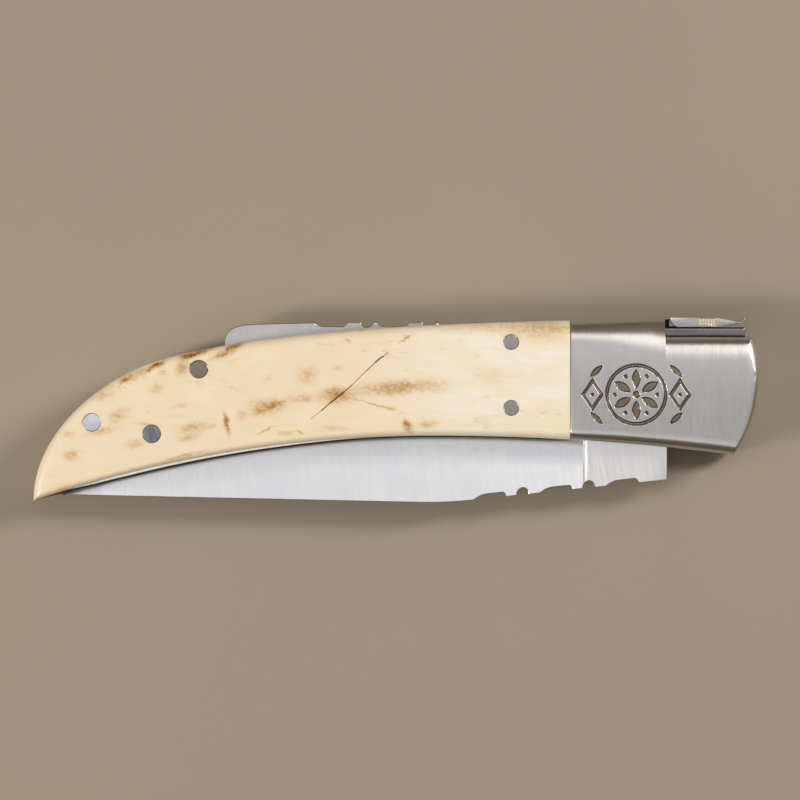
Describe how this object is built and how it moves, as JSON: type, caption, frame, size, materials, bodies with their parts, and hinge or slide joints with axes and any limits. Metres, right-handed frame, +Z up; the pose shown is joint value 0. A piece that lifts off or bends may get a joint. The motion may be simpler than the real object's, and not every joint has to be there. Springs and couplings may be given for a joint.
{
  "type": "folding pocket knife",
  "caption": "Folding pocket knife with bone scales, steel bolsters, a single blade with filework and a back lock lifted by a small lever.",
  "frame": {"origin": "centre of the knife's outline on the surface it lies on, closed, left side down", "axes": "+X along the handle towards the head (pivot end), +Y across the handle towards its back, +Z up through its thickness"},
  "size_m": [0.1202, 0.0308, 0.0134],
  "materials": {
    "bolster_steel": "satin brushed along the handle",
    "blade_steel": "satin, ground across the blade",
    "spring_steel": "satin",
    "liner_steel": "satin",
    "pin_steel": "polished flush",
    "bone": "polished bone with brown stains"
  },
  "bodies": {
    "handle": {"right_liner": "liner_steel", "left_liner": "liner_steel", "right_bolster": "bolster_steel", "left_bolster": "bolster_steel", "right_scale": "bone", "left_scale": "bone", "right_bolster_pin_rear": "pin_steel", "left_bolster_pin_rear": "pin_steel", "right_bolster_pin_front": "pin_steel", "left_bolster_pin_front": "pin_steel", "blade_pivot_pin": "pin_steel", "rocker_pin": "pin_steel", "scale_pin": "pin_steel", "tail_pin_rear": "pin_steel", "tail_pin_middle": "pin_steel", "tail_pin_front": "pin_steel", "stop_pin": "pin_steel", "tail_spacer": "liner_steel", "leaf_spring": "spring_steel"},
    "blade": {"blade": "blade_steel"},
    "rocker": {"rocker_bar": "spring_steel", "lever_pin": "pin_steel"},
    "lever": {"lift_lever": "spring_steel"}
  },
  "joints": [
    {"name": "blade_hinge", "type": "hinge", "parent": "handle", "child": "blade", "pos_m": [0.0517, 0.0022, 0.0067], "axis": [0, 0, 1], "range_deg": [0, 180]},
    {"name": "rocker_tilt", "type": "hinge", "parent": "handle", "child": "rocker", "pos_m": [0.0191, 0.0113, 0.0067], "axis": [0, 0, 1], "range_deg": [0, 3], "stiffness_Nm_per_rad": 0.5, "deforming": ["leaf_spring"]},
    {"name": "lever_lift", "type": "hinge", "parent": "rocker", "child": "lever", "pos_m": [0.04795, 0.0146, 0.0067], "axis": [0, 0, 1], "range_deg": [0, 80]}
  ],
  "couplings": [
    {"joint": "lever_lift", "follows": "rocker_tilt", "ratio": 26.65}
  ]
}
